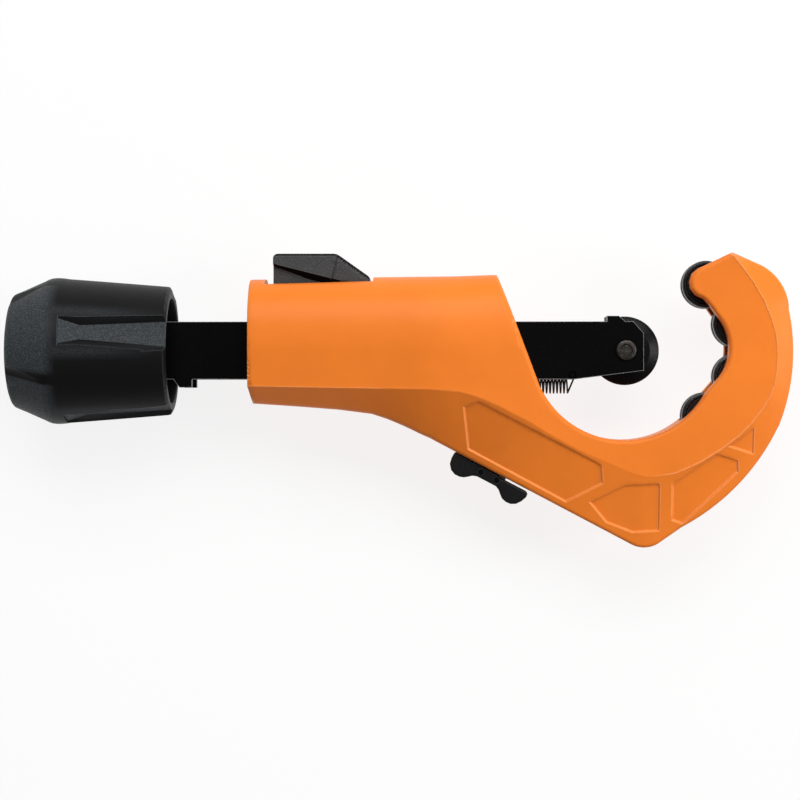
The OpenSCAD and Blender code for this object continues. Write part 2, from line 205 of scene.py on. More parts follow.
# The light grey on the knob's edges is partly wear and partly painted highlight along the channel edges.
knob_look = material("knob_plastic", (0.0065, 0.0065, 0.007), 0.48, grain=2400, bump=0.1, depth=0.25,
                     edge_wear_and_highlight=(0.13, 0.14, 0.145), edge=0.3, specular=0.12, textured=(0.04, 0.046, 0.05))
plug_look = material("plug_plastic", (0.008, 0.008, 0.0085), 0.5, grain=1700, bump=0.3,
                     edge_wear_and_highlight=(0.05, 0.053, 0.056), specular=0.15)
# The light grey on the lever's edges is partly wear and partly painted highlight along its top edge.
lever_grey = material("lever_plastic", (0.036, 0.036, 0.038), 0.5, vary=0.12, grain=2200, bump=0.9,
                      depth=0.25, edge=0.3, specular=0.3, speckle=0.05, edge_wear_and_highlight=(0.16, 0.16, 0.165))
# A darker copy of the lever plastic with less bump. On the undercut facet below the crease its darkness is
# painted shade; it also covers the top strip and the front slope strip.
smooth_and_shaded_lever = material("lever_smooth_and_painted_shade", (0.008, 0.008, 0.0085), 0.6, grain=1500, bump=0.3, specular=0.05,
                      edge_wear_and_highlight=(0.1, 0.1, 0.105), edge=0.3)
thumb_black = material("thumb_plastic", (0.0055, 0.0055, 0.006), 0.34, specular=0.3, vary=0.15, grain=1500,
                       bump=0.2, edge_wear_and_highlight=(0.05, 0.05, 0.05))
blade_steel = material("blade_steel", (0.33, 0.33, 0.34), 0.32, metal=1.0, grain=1500, bump=0.2,
                       edge_wear_and_highlight=(0.7, 0.7, 0.7))


# ---------------------------------------------------------------- shape helpers

def arc(x, y, r, start, end, steps):
    angles = np.radians(np.linspace(start, end, steps + 1))
    return [(x + r * math.cos(a), y + r * math.sin(a)) for a in angles]


def fine_line(points, step, closed=False):
    """The same line with a point at most every `step`; its corners stay."""
    ends = points[1:] + points[:1] if closed else points[1:]
    out = []
    for a, b in zip(points, ends):
        n = max(1, math.ceil(math.dist(a, b) / step))
        out += [(a[0] + (b[0] - a[0]) * i / n, a[1] + (b[1] - a[1]) * i / n) for i in range(n)]
    return out if closed else out + [points[-1]]


def distance(points, line, closed=False):
    """Each point's distance to a line, and the nearest place on it."""
    a = np.array(line, float)
    b = np.roll(a, -1, 0) if closed else a[1:]
    a = a if closed else a[:-1]
    best = np.full(len(points), 1e9)
    near = np.zeros((len(points), 2))
    for p, q in zip(a, b):
        d = q - p
        t = np.clip(((points - p) @ d) / max(d @ d, 1e-12), 0, 1)
        foot = p + t[:, None] * d
        gap = np.hypot(*(points - foot).T)
        closer = gap < best
        best[closer] = gap[closer]
        near[closer] = foot[closer]
    return best, near


def inside(points, polygon):
    a = np.array(polygon, float)
    b = np.roll(a, -1, 0)
    hit = np.zeros(len(points), bool)
    x, y = points.T
    for (x0, y0), (x1, y1) in zip(a, b):
        if y0 == y1:
            continue
        cross = (y0 > y) != (y1 > y)
        hit ^= cross & (x < (x1 - x0) * (y - y0) / (y1 - y0) + x0)
    return hit


def inset(polygon, by):
    """A polygon moved inwards, corner by corner."""
    pts = [Vector(p) for p in polygon]
    area = sum(p.x * q.y - q.x * p.y for p, q in zip(pts, pts[1:] + pts[:1]))
    side = 1 if area > 0 else -1
    out = []
    for before, here, after in zip(pts[-1:] + pts[:-1], pts, pts[1:] + pts[:1]):
        n0 = side * Vector((before.y - here.y, here.x - before.x)).normalized()
        n1 = side * Vector((here.y - after.y, after.x - here.x)).normalized()
        m = (n0 + n1).normalized()
        out.append(tuple(here + m * by / max(0.4, m.dot(n0))))
    return out


def solid(name, verts, faces):
    mesh = bpy.data.meshes.new(name)
    mesh.from_pydata([tuple(v) for v in verts], [], faces)
    made = bpy.data.objects.new(name, mesh)
    scene.collection.objects.link(made)
    bm = bmesh.new()
    bm.from_mesh(mesh)
    bmesh.ops.remove_doubles(bm, verts=bm.verts, dist=1e-4)
    bmesh.ops.recalc_face_normals(bm, faces=bm.faces)
    bm.to_mesh(mesh)
    bm.free()
    return made


def prism(outline, low, high, name="cutter"):
    """Plate between two heights, from a drawing of its side."""
    n = len(outline)
    verts = [(x, y, low) for x, y in outline] + [(x, y, high) for x, y in outline]
    faces = [list(range(n)), list(range(n, 2 * n))]
    faces += [[i, (i + 1) % n, n + (i + 1) % n, n + i] for i in range(n)]
    return solid(name, verts, faces)


def box(low, high, name="cutter"):
    (x0, y0, z0), (x1, y1, z1) = low, high
    return prism([(x0, y0), (x1, y0), (x1, y1), (x0, y1)], z0, z1, name)


def post(at, low, high, r, steps=48):
    return prism(arc(at[0], at[1], r, 0, 360 * (1 - 1 / steps), steps - 1), low, high)


def lathe(name, profile, steps, centre=(0, 0, 0), along="X"):
    """Turns a closed profile of (station, radius) about an axis."""
    verts, faces = [], []
    for i in range(steps):
        a = 2 * math.pi * i / steps
        for s, r in profile:
            u, v = r * math.cos(a), r * math.sin(a)
            p = (s, u, v) if along == "X" else (u, v, s)
            verts.append([p[k] + centre[k] for k in range(3)])
    m = len(profile)
    for i in range(steps):
        here, there = i * m, (i + 1) % steps * m
        for j in range(m):
            faces.append([here + j, here + (j + 1) % m, there + (j + 1) % m, there + j])
    made = solid(name, verts, faces)
    bm = bmesh.new()
    bm.from_mesh(made.data)
    bmesh.ops.dissolve_degenerate(bm, dist=1e-4, edges=bm.edges)
    bmesh.ops.recalc_face_normals(bm, faces=bm.faces)
    bm.to_mesh(made.data)
    bm.free()
    return made


def apply(made, kind, **settings):
    """Adds a modifier and applies it."""
    m = made.modifiers.new("m", kind)
    for key, value in settings.items():
        setattr(m, key, value)
    graph = bpy.context.evaluated_depsgraph_get()
    mesh = bpy.data.meshes.new_from_object(made.evaluated_get(graph))
    made.modifiers.clear()
    old = made.data
    made.data = mesh
    bpy.data.meshes.remove(old)


def cut(made, *cutters):
    for c in cutters:
        apply(made, "BOOLEAN", operation="DIFFERENCE", solver="EXACT", object=c)
        bpy.data.objects.remove(c)


def between_rings(i, sides):
    """The faces between ring i and the next of a stack of rings, whose points are numbered in turn."""
    here, there = i * sides, (i + 1) * sides
    return [[here + k, here + (k + 1) % sides, there + (k + 1) % sides, there + k] for k in range(sides)]


def tube(name, path, r, sides=8):
    """A round wire along a path of points."""
    pts = np.array(path, float)
    tangents = np.gradient(pts, axis=0)
    tangents /= np.linalg.norm(tangents, axis=1)[:, None]
    side = np.cross(tangents[0], (0.3, 0.2, 1.0))
    verts, faces = [], []
    for p, t in zip(pts, tangents):
        side = side - t * (side @ t)
        side /= np.linalg.norm(side)
        up = np.cross(t, side)
        verts += [p + r * (math.cos(a) * side + math.sin(a) * up)
                  for a in np.linspace(0, 2 * math.pi, sides, endpoint=False)]
    for i in range(len(pts) - 1):
        faces += between_rings(i, sides)
    faces += [list(range(sides)), list(range((len(pts) - 1) * sides, len(pts) * sides))]
    return solid(name, verts, faces)


def tidy(made):
    """Merges the slivers that a boolean left."""
    bm = bmesh.new()
    bm.from_mesh(made.data)
    bmesh.ops.remove_doubles(bm, verts=bm.verts, dist=0.003)
    bmesh.ops.dissolve_degenerate(bm, dist=0.002, edges=bm.edges)
    bm.to_mesh(made.data)
    bm.free()


def done(made, body, slot, *replaced, look=None, sharp=35):
    """Moves a finished piece to the part's frame, shades it and ties it to its body."""
    made.data.transform(TO_PART)
    for p in made.data.polygons:
        p.use_smooth = True
    made.data.set_sharp_from_angle(angle=math.radians(sharp))
    apply(made, "WEIGHTED_NORMAL", keep_sharp=True, weight=80)
    if look:
        made.data.materials.clear()
        made.data.materials.append(look)
    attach(made, body)
    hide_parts(*replaced)
    return made


BEVEL_ANGLE, FLAT_ANGLE = math.radians(28), math.radians(4)


def bevelled(name, width, body, slot, look, segments=2):
    """A CAD node's own shape with its edges rounded."""
    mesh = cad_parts[name].data.copy()
    made = bpy.data.objects.new(name + "_shown", mesh)
    scene.collection.objects.link(made)
    mesh.transform(TO_PART.inverted())
    if mesh.has_custom_normals:
        bpy.context.view_layer.objects.active = made
        bpy.ops.mesh.customdata_custom_splitnormals_clear()
    bm = bmesh.new()
    bm.from_mesh(mesh)
    bmesh.ops.remove_doubles(bm, verts=bm.verts, dist=0.002)
    bmesh.ops.dissolve_limit(bm, angle_limit=FLAT_ANGLE, verts=bm.verts, edges=bm.edges)
    for e in bm.edges:
        e.smooth = True
    bm.to_mesh(mesh)
    bm.free()
    apply(made, "BEVEL", width=width, segments=segments, limit_method="ANGLE", angle_limit=BEVEL_ANGLE)
    return done(made, body, slot, name, look=look)


def relief(name, outline, lines, points, height):
    """A solid whose near side is a height over a drawing, and whose far side is its mirror image."""
    verts = [Vector(p) for p in outline]
    edges = []
    for line, closed in lines:
        first = len(verts)
        verts += [Vector(p) for p in line]
        n = len(line)
        edges += [(first + i, first + (i + 1) % n) for i in range(n if closed else n - 1)]
    verts += [Vector(p) for p in points]
    flat, _, triangles, *_ = delaunay_2d_cdt(verts, edges, [list(range(len(outline)))], 1, 1e-4)
    flat = np.array([tuple(v) for v in flat])
    z = height(flat)
    n = len(flat)
    near = np.column_stack([flat, z])
    far = np.column_stack([flat, -z])
    faces = [list(t) for t in triangles] + [[i + n for i in reversed(t)] for t in triangles]
    count = {}
    for t in triangles:
        for a, b in zip(t, list(t[1:]) + [t[0]]):
            count.setdefault(frozenset((a, b)), []).append((a, b))
    for found in count.values():
        if len(found) == 1:
            a, b = found[0]
            faces.append([b, a, a + n, b + n])
    return solid(name, np.vstack([near, far]), faces)


# ---------------------------------------------------------------- frame body

BARREL_REAR = -50.6
FRONT_TOP, FRONT_LOW = (32.8, 25.8), (47.3, -12.5)
FRONT_SLANT = (FRONT_LOW[0] - FRONT_TOP[0]) / (FRONT_TOP[1] - FRONT_LOW[1])
MID_Y = 2.0
EDGE_START, EDGE_TILT = (10.3, -29.65), -27.6
ALONG_EDGE = Matrix.Translation((*EDGE_START, 0)) @ Matrix.Rotation(math.radians(EDGE_TILT), 4, "Z")
PEAK = (112.1, 33.1)
TOP_X, TOP_Y = [BARREL_REAR, -8.5, 18.7, 32.8], [24.2, 25.0, 25.3, 25.8]
LEVELS = [math.sin(math.radians(t)) ** 0.8 for t in range(0, 90, 6)]
MOUTH = ([FRONT_LOW] + arc(75.5, 1, 31.2, -148, -30, 60) + arc(94.3, 0.8, 16.3, -44, 40, 24)
         + [(104.1, 15.1), (102.2, 17.2), (99.4, 18.6), (97.8, 20.6), (97.4, 23), (98.3, 25.8),
            (100.4, 27.5), PEAK])
HOOK_BACK = ([EDGE_START] + arc(82.4, -57.3, 9.15, -119, -60, 10) + arc(60, 6.5, 74.8, -62, -24, 30)
             + arc(65, -0.3, 67.56, -22, 12, 30) + arc(113.7, 13.2, 17.5, 8, 62, 14) + [PEAK])[::-1]
BARREL_LOW = [EDGE_START, (6.9, -28.1), (1.5, -25.5), (-3.9, -23.2), (-9.3, -21.4), (-20.1, -20),
              (-33.6, -18.95), (BARREL_REAR + 1.2, -17.9)]
RIDGE = [(BARREL_REAR, -12.1), (-9.8, -12.8), (10.3, -13.1), (20.4, -13.9), (26.4, -15.6), (33.2, -18.5),
         (42.9, -23.5), (50.9, -28.3), (59, -32.8), (67.4, -36.5), (73.8, -39.3), (79, -41.4), (82.2, -42.2),
         (86, -42.4), (92.6, -41.3), (100.3, -37.9), (108, -33.2), (113.5, -29), (118.1, -24.4),
         (121.3, -20.3), (123.9, -16.2), (125.6, -11.5), (126.5, -6), (126.7, -0.4), (126.2, 5),
         (124.8, 10.2), (122.4, 16.2), (118.8, 22.6), (115.5, 27), (112.1, 31.6)]
PANELS = [[(21.4, -18.9), (26.6, -16.9), (67.8, -38.3), (68.4, -44.8), (56, -51.2), (23, -33.4)],
          [(63.8, -51.1), (75.7, -45.1), (87.5, -44.6), (87.5, -60.9), (78.3, -61.4), (69.5, -58)],
          [(91.4, -44.6), (91.4, -57.2), (95.3, -58.5), (113.3, -41.5), (114, -41), (113.8, -36.9),
           (106.6, -34.6)],
          [(119, -25.6), (119, -35.1), (110.2, -32.3)]]
PANEL_DEPTH, PANEL_SLOPE = 0.55, 0.55
ROLLER_ROOM_Z = 5.2
# Spacing of points along the outline and the ridge, and where rows of points run beside the edge, the ridge,
# the barrel's rear and its slanted front
STEP, RIDGE_STEP = 1.2, 1.5
EDGE_ROWS = (0.12, 0.35, 0.7, 1.1, 1.5)
RIDGE_ROWS = (-0.5, -0.25, 0.25, 0.5)
REAR_ROWS = (BARREL_REAR + 0.25, BARREL_REAR + 0.9)
FRONT_ROWS = (0.13, 0.37, 0.75, 1.2, 1.7)
BLADE_ROOM = [((12, 0.8, -1), (100, 8.8, 1)), ((16.5, -5, -1), (52.5, 1, 1)), ((30, 8.5, -1), (46, 10.4, 1))]


def top_at(x):
    return np.interp(x, TOP_X, TOP_Y)


def barrel_levels(x):
    """Heights in the drawing at which the barrel's round top is sampled."""
    return [MID_Y + (float(top_at(x)) - MID_Y) * s for s in LEVELS]


def front_at(y):
    """X of the barrel's slanted front at a height in the drawing."""
    return FRONT_TOP[0] + (FRONT_TOP[1] - y) * FRONT_SLANT


def face_height(x, y):
    """Half thickness of the face inside the ridge: round on the barrel, flat on the hook."""
    t = np.clip((x - 5) / 75, 0, 1)
    s = t * t * (3 - 2 * t)
    half = 18.5 - 8.5 * s - 1.2 * (1 - s) * np.clip((MID_Y - y) / 14, 0, 1)
    up = np.clip((y - MID_Y) / (top_at(x) - MID_Y), 0, 1)
    return np.where(x < 50, half * (1 - up ** 2.5) ** 0.4, half)


def frame_height(p):
    x, y = p.T
    z = face_height(x, y)
    d_ridge, on_ridge = distance(p, RIDGE)
    outer = HOOK_BACK + BARREL_LOW[1:]
    d_outer, on_outer = distance(p, outer)
    band = inside(p, RIDGE + outer) | (d_outer < 1e-3)
    z_ridge = face_height(*on_ridge.T)
    z_edge = np.interp(on_outer[:, 0], [BARREL_REAR, -9.3, 10.3], [10, 9, 6.1])
    share = d_ridge / np.maximum(d_ridge + d_outer, 1e-6)
    z = np.where(band, z_ridge + (z_edge - z_ridge) * share, z)
    z = z + 0.22 * np.exp(-(d_ridge / 0.22) ** 2) * np.clip((x - 75) / 30, 0, 1)
    for panel in PANELS:
        d, _ = distance(p, panel, True)
        t = np.where(inside(p, panel), np.clip(d / PANEL_SLOPE, 0, 1), 0)
        z = z - PANEL_DEPTH * t * t * (3 - 2 * t)
    rear = [BARREL_LOW[-1], (BARREL_REAR, -12.1), (BARREL_REAR, 30)]
    for line, r in (([FRONT_TOP] + MOUTH, 1.4), (HOOK_BACK, 1.0), (BARREL_LOW, 1.2), (rear, 0.8)):
        d, _ = distance(p, line)
        r = np.minimum(r, 0.6 * z)
        t = np.clip(r - d, 0, r)
        z = z - (r - np.sqrt(np.maximum(r * r - t * t, 0)))
    return z


def frame_drawing():
    """The outline of the casting, and the part of it that is neither the barrel's round top nor its rear."""
    rear = [(BARREL_REAR + 0.8, -15.9), (BARREL_REAR + 0.4, -13.9), (BARREL_REAR, -12.1)]
    rear += [(BARREL_REAR, y) for y in np.arange(-10.8, MID_Y - 0.8, 1.3)]
    rear += [(BARREL_REAR, y) for y in barrel_levels(BARREL_REAR)]
    slant = [(front_at(y), y) for y in barrel_levels(FRONT_TOP[0])[::-1]]
    top = [(x, float(top_at(x))) for x in np.arange(BARREL_REAR, 31.5, 2)]
    lower = fine_line([slant[-1], FRONT_LOW] + MOUTH[1:], STEP)[1:]
    lower += fine_line(HOOK_BACK, STEP)[1:] + fine_line(BARREL_LOW, STEP)[1:]
    return top + slant + lower + rear, np.array(lower)


def left_of(line):
    """The unit vector to the left of a line, at each of its points."""
    along = np.gradient(line, axis=0)
    along /= np.linalg.norm(along, axis=1)[:, None]
    return np.column_stack([-along[:, 1], along[:, 0]])


def frame_points(outline, lower, lines):
    """Where the height is sampled inside the outline: rows beside its edge and beside the ridge, a grid clear
    of all lines, and rows over the barrel's round top and front."""
    rows = []
    inward = -left_of(lower)
    for d in EDGE_ROWS:
        row = lower + inward * d
        ok = inside(row, outline) & (distance(row, outline, True)[0] > 0.96 * d)
        rows += [tuple(p) for p in row[ok]]
    ridge = np.array(lines[0][0])
    for by in RIDGE_ROWS:
        row = ridge + by * left_of(ridge)
        ok = (row[:, 0] > BARREL_REAR + 0.3) & (row[:, 1] < 30)
        rows += [tuple(p) for p in row[ok]]
    grid = [(x + (0.8 if k % 2 else 0), y) for k, y in enumerate(np.arange(-66, 34, 1.4))
            for x in np.arange(-49, 132, 1.6)]
    grid += [(x, y) for x in REAR_ROWS for y in np.arange(-11.5, 1.5, 1.4)]
    grid = np.array(grid)
    round_top = (grid[:, 1] > MID_Y - 1) & (grid[:, 0] < front_at(grid[:, 1]) + 1)
    ok = inside(grid, outline) & ~round_top & (distance(grid, outline, True)[0] > 0.2)
    ok &= (distance(grid, lower)[0] > 2.1) & (distance(grid, RIDGE)[0] > 0.7)
    for line, closed in lines[1:]:
        ok &= distance(grid, line, closed)[0] > 0.5
    points = rows + [tuple(p) for p in grid[ok]]
    for x in (*np.arange(BARREL_REAR + 2, 46, 2.0), *REAR_ROWS):
        points += [(x, y) for y in barrel_levels(x) if x < front_at(y) - 2.2]
    for y in barrel_levels(FRONT_TOP[0]):
        points += [(front_at(y) - d, y) for d in FRONT_ROWS]
    return points


def frame_body():
    outline, lower = frame_drawing()
    lines = [(fine_line(RIDGE, RIDGE_STEP), False)]
    for panel in PANELS:
        for line in (panel, inset(panel, PANEL_SLOPE), inset(panel, PANEL_SLOPE / 2)):
            lines.append((fine_line(line, STEP, True), True))
    points = frame_points(outline, lower, lines)
    made = relief("frame_body_shown", outline, lines, points, frame_height)
    passage = box((-FAR, -10, -8.8), (FAR, 10, 8.8))
    wheel_room = box((34.9, -12.3, -2.6), (FAR, 12.3, 2.6))
    spring_room = box((-29.5, -15.2, -3.4), (FAR, -5, 3.4))
    lever_notch = prism([(-45.5, 22.3), (-8.9, 23.3), (-8.9, FAR), (-45.5, FAR)], -FAR, FAR)
    lever_room = box((-43.7, 12.5, -7.3), (-9.4, FAR, 7.3))
    shoe_room = box((-21, 5, -3.6), (-9.4, FAR, 3.6))
    cut(made, passage, wheel_room, spring_room, lever_notch, lever_room, shoe_room,
        post(LEVER_PIN, -FAR, 11.3, 1.5), post(SPRING_ANCHOR, -FAR, 6.4, 1))
    cut(made, prism(ROLLERS + [(92, -14), (92, 14)], -ROLLER_ROOM_Z, ROLLER_ROOM_Z))
    cut(made, *[post(at, -ROLLER_ROOM_Z, ROLLER_ROOM_Z, 8.6, 72) for at in ROLLERS])
    cut(made, *[post(at, -FAR, 8, 2.5) for at in ROLLERS])
    for low, high in BLADE_ROOM:
        slot = box(low, high)
        slot.data.transform(ALONG_EDGE)
        cut(made, slot)
    tidy(made)
    return done(made, "frame", "frame_paint", "frame_body", look=paint, sharp=42)


frame_body()


# ---------------------------------------------------------------- knob

KNOB_REAR, KNOB_FRONT = -133.2, -77.6
CHANNEL_FIRST, CHANNELS = 15.5, 4
SPACING = 360 / CHANNELS
CHANNEL_X = [-113.1, -106.1, -75]
CHANNEL_W = [4.3, 2.4, 4.45]
CHANNEL_FLOOR = [23.5, 21.8, 19.3]
WALL_RISE = 0.7
SCALLOP_R = 7.6
SCALLOP_PLACE = Matrix.Translation((-131.5, 0, 26.2)) @ Matrix.Rotation(math.radians(60), 4, "Y")


def knob_cutter():
    """What one channel takes away, with its middle on the Z axis: a facet that narrows to a waist and a panel
    that widens to the rim."""
    high = 32
    rings = []
    for x, w, n in zip(CHANNEL_X, CHANNEL_W, CHANNEL_FLOOR):
        wide = w + (high - n) / WALL_RISE
        rings.append([(x, -w, n), (x, w, n), (x, wide, high), (x, -wide, high)])
    verts = [v for ring in rings for v in ring]
    faces = [[0, 1, 2, 3], [8, 9, 10, 11]] + between_rings(0, 4) + between_rings(1, 4)
    return solid("cutter", verts, faces)


def knob_grain(made):
    """Writes how coarse the knob is at each corner of its faces: 1 on the floors of the channels and the lugs
    round the rear, less on the shoulders beside the channels, and 0 elsewhere."""
    grain = made.data.attributes.new("grain", "FLOAT", "CORNER")
    values = np.zeros(len(made.data.loops))
    for p in made.data.polygons:
        x, y, z = p.center
        turned = math.degrees(math.atan2(y, z)) - CHANNEL_FIRST
        middle = math.radians(round(turned / SPACING) * SPACING + CHANNEL_FIRST)
        floor = np.interp(x, CHANNEL_X, CHANNEL_FLOOR)
        level = abs(p.normal.y * math.cos(middle) - p.normal.z * math.sin(middle)) < 0.04
        h = y * math.sin(middle) + z * math.cos(middle)
        on_floor = -112.8 < x < -78.3 and abs(h - floor) < 0.06 and level and h > 18.9
        for i in p.loop_indices:
            v = made.data.vertices[made.data.loops[i].vertex_index].co
            r = math.hypot(v.y, v.z)
            a = math.degrees(math.atan2(v.y, v.z)) - CHANNEL_FIRST
            a = (a + SPACING / 2) % SPACING - SPACING / 2
            lug = np.clip((a + 36) / 4, 0, 1) + (a < -43) + (a > 45)
            lug = min(lug, 1) * np.clip((-114.5 - v.x) / 4, 0, 1) * np.clip((r - 16.5) / 1, 0, 1)
            shoulder = 0.4 * np.clip(1 - abs(abs(a) - 17) / 7, 0, 1)
            shoulder *= np.clip((-v.x - 80) / 20, 0, 1) * (v.x > -115)
            values[i] = 1 if on_floor else max(lug, shoulder if r > 21 else 0)
    grain.data.foreach_set("value", values)


def knob():
    profile = [(KNOB_REAR, 6.5), (KNOB_REAR, 6.7), (-132.9, 12), (-132.5, 15), (-131.9, 17.6), (-131.5, 18.6),
               (-130.9, 19.3), (-130.2, 19.65), (-127, 20.95), (-123.5, 22.5), (-120.4, 23.85),
               (-119.4, 24.35), (-118.4, 24.7), (-117.2, 24.88), (-115.9, 24.9), (-114, 24.75),
               (-112.4, 24.5), (-109, 24.25), (-104, 23.87), (-98, 23.4), (-92, 22.93), (-86, 22.45),
               (-81, 22.05), (-78.9, 21.87), (-78.3, 21.7), (-77.7, 20.6), (KNOB_FRONT, 20.3),
               (KNOB_FRONT, 18.2), (-77.8, 17.9), (-78.8, 17.75), (-90, 17.2), (-103, 16.85), (-104, 16.2),
               (-104, 8), (-118, 8), (-118, 2.6), (-122, 2.6), (-122, 6.5)]
    made = lathe("knob_shown", profile, 160)
    for i in range(CHANNELS):
        turn = Matrix.Rotation(-math.radians(CHANNEL_FIRST + i * SPACING), 4, "X")
        channel = knob_cutter()
        channel.data.transform(turn)
        scallop = post((0, 0), -16, 16, SCALLOP_R, 72)
        scallop.data.transform(SCALLOP_PLACE)
        scallop.data.transform(turn @ Matrix.Rotation(-math.radians(SPACING / 2 + 3), 4, "X"))
        cut(made, channel, scallop)
    tidy(made)
    apply(made, "BEVEL", width=0.25, segments=2, limit_method="ANGLE", angle_limit=math.radians(17))
    tidy(made)
    knob_grain(made)
    return done(made, "knob", "knob_plastic", "knob_shell", look=knob_look, sharp=30)


knob()


# ---------------------------------------------------------------- slide, wheel and rollers

bevelled("slide_bar", 0.45, "slide", "slide_black", black_steel, segments=3)


def turned_part(name, body, slot, look, profile, at, steps=72, sharp=25):
    made = lathe(name + "_shown", profile, steps, (at[0], at[1], 0), "Z")
    return done(made, body, slot, name, look=look, sharp=sharp)


def both_sides(half):
    return half + [(-s, r) for s, r in half[::-1]]


WHEEL = both_sides([(5.7, 2.56), (5.7, 4.9), (5.4, 5.35), (2.1, 5.5), (1.75, 5.9), (1.7, 8.2), (1.5, 8.7),
                    (0.62, 10.7), (0.5, 10.95), (0.06, 11.66)])
ROLLER = both_sides([(4.6, 2.56), (4.6, 3.2), (4.35, 3.5), (4.35, 6.3), (4.6, 6.6), (4.8, 6.9), (4.8, 7.3),
                     (4.6, 7.7), (4.2, 7.95), (3.9, 8), (1.55, 8), (1.3, 7.75), (1, 7.3), (0.7, 7.2)])
WHEEL_PIN = [(-10.1, 0), (-10.1, 2.1), (-9.8, 2.4), (-8.9, 2.5), (8.5, 2.5), (8.5, 3.4), (9.2, 3.4),
             (9.45, 3.25), (9.6, 2.9), (9.6, 2.1), (9.2, 1.8), (9.2, 0)]
FRONT_PIN = both_sides([(SLIDE_HALF_W, 0), (SLIDE_HALF_W, 1.25), (8.35, 1.42), (7.6, 1.42), (7.4, 0.9)])

turned_part("cutter_wheel", "wheel", "wheel_steel", dark_steel, WHEEL, (WHEEL_X, 0), 128)
for i, at in enumerate(ROLLERS, 1):
    turned_part(f"roller_{i}", f"roller_{i}", "roller_steel", roller_steel, ROLLER, at)
    bevelled(f"roller_pin_{i}", 0.3, "frame", "pin_steel", pin_steel)
turned_part("wheel_pin", "slide", "pin_steel", pin_steel, WHEEL_PIN, (WHEEL_X, 0), 48, sharp=35)
bevelled("wheel_clip", 0.15, "slide", "clip_steel", bright_steel)
bevelled("spring_anchor_pin", 0.15, "frame", "pin_steel", pin_steel)
turned_part("spring_front_pin", "slide", "pin_steel", black_steel, FRONT_PIN, SPRING_FRONT, 40, sharp=35)

SPRING_Y, SPRING_R, WIRE_R, PITCH = SPRING_ANCHOR[1], 2.57, 0.32, 1.19
EYE_R, HOOK_R = 1.45, 1.22


def slide_spring():
    """Coil with an eye round the anchor pin, long enough for the fine feed, and a hook on the front pin."""
    start, end = -7.4, 56.9
    turns = round((end - start) / PITCH) + 0.5
    a = np.linspace(0, 2 * math.pi * turns, int(turns * 16))
    coil = np.column_stack([start + (end - start) * a / a[-1], SPRING_Y + SPRING_R * np.cos(a),
                            SPRING_R * np.sin(a)])
    rear = [(x, SPRING_Y - EYE_R, 0.0) for x in np.linspace(-9.1, SPRING_ANCHOR[0], 16)]
    rear += [(x, y, 0.0) for x, y in arc(*SPRING_ANCHOR, EYE_R, 255, 105, 8)]
    rear += [(x, SPRING_Y + EYE_R, 0.0) for x in np.linspace(SPRING_ANCHOR[0], -8.6, 18)]
    rear += [(-8.1, SPRING_Y + 1.7, 0.0), (-7.7, SPRING_Y + 2.2, 0.0)]
    last = coil[-1]
    hook = [(x, y, 0.0) for x, y in arc(*SPRING_FRONT, HOOK_R, -15, 230, 15)]
    lead = [last * (1 - t) + np.array(hook[0]) * t for t in np.linspace(0.1, 0.9, 9)]
    path = np.vstack([rear, coil, lead, hook])
    made = tube("slide_spring_shown", path, WIRE_R)
    done(made, "slide", "spring_black", "slide_spring", look=spring_wire, sharp=60)
    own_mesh(made)


slide_spring()


# ---------------------------------------------------------------- feed screw and its parts

JOURNAL_R, ROOT_R, THREAD_H = 4.0, 3.78, 0.8


def feed_screw():
    pitch, per_turn, sides = 1.5, 8, 28
    rear, thread_from, thread_to, front = -118, -84.9, 11.2, 12.0
    stations = np.arange(thread_from, thread_to, pitch / per_turn)
    verts, faces = [], []
    rows = [(x, [JOURNAL_R] * sides) for x in (rear, rear + 0.3, thread_from - 0.2, thread_from)]
    for x in stations:
        ring = []
        for k in range(sides):
            phase = (x / pitch - k / sides) % 1.0
            lift = np.interp(phase, [0, 0.14, 0.44, 0.56, 0.86, 1], [0, 0, THREAD_H, THREAD_H, 0, 0])
            fade = min(1.0, (thread_to + 0.2 - x) / pitch)
            ring.append(ROOT_R + lift * fade)
        rows.append((x, ring))
    rows += [(front - 0.4, [3.4] * sides), (front, [2.9] * sides)]
    for x, ring in rows:
        verts += [(x, r * math.cos(2 * math.pi * k / sides), r * math.sin(2 * math.pi * k / sides))
                  for k, r in enumerate(ring)]
    for i in range(len(rows) - 1):
        faces += between_rings(i, sides)
    faces += [list(range(sides)), list(range((len(rows) - 1) * sides, len(rows) * sides))]
    made = solid("feed_screw_shown", verts, faces)
    return done(made, "knob", "screw_steel", "feed_screw", look=bright_steel, sharp=40)


feed_screw()
bevelled("nut_block", 0.3, "carriage", "nut_bronze", bronze)
bevelled("end_block", 0.3, "slide", "block_steel", grey_steel)
bevelled("end_block_pins", 0.15, "slide", "pin_steel", pin_steel)
for name in ("thrust_washer_front", "thrust_washer_rear"):
    bevelled(name, 0.12, "knob", "screw_steel", bright_steel)
bevelled("knob_insert", 0.25, "knob", "block_steel", grey_steel)
bevelled("knob_bolt", 0.2, "knob", "bolt_black", black_steel)
PLUG = [(KNOB_REAR, 0), (-133.18, 3), (-133.0, 5.6), (-132.8, 6.2), (-132.4, 6.5), (-129.2, 6.5), (-129.2, 5),
        (-131, 5), (-131, 0)]
done(lathe("knob_plug_shown", PLUG, 64), "knob", "knob_plastic", "knob_plug", look=plug_look)


# ---------------------------------------------------------------- release lever

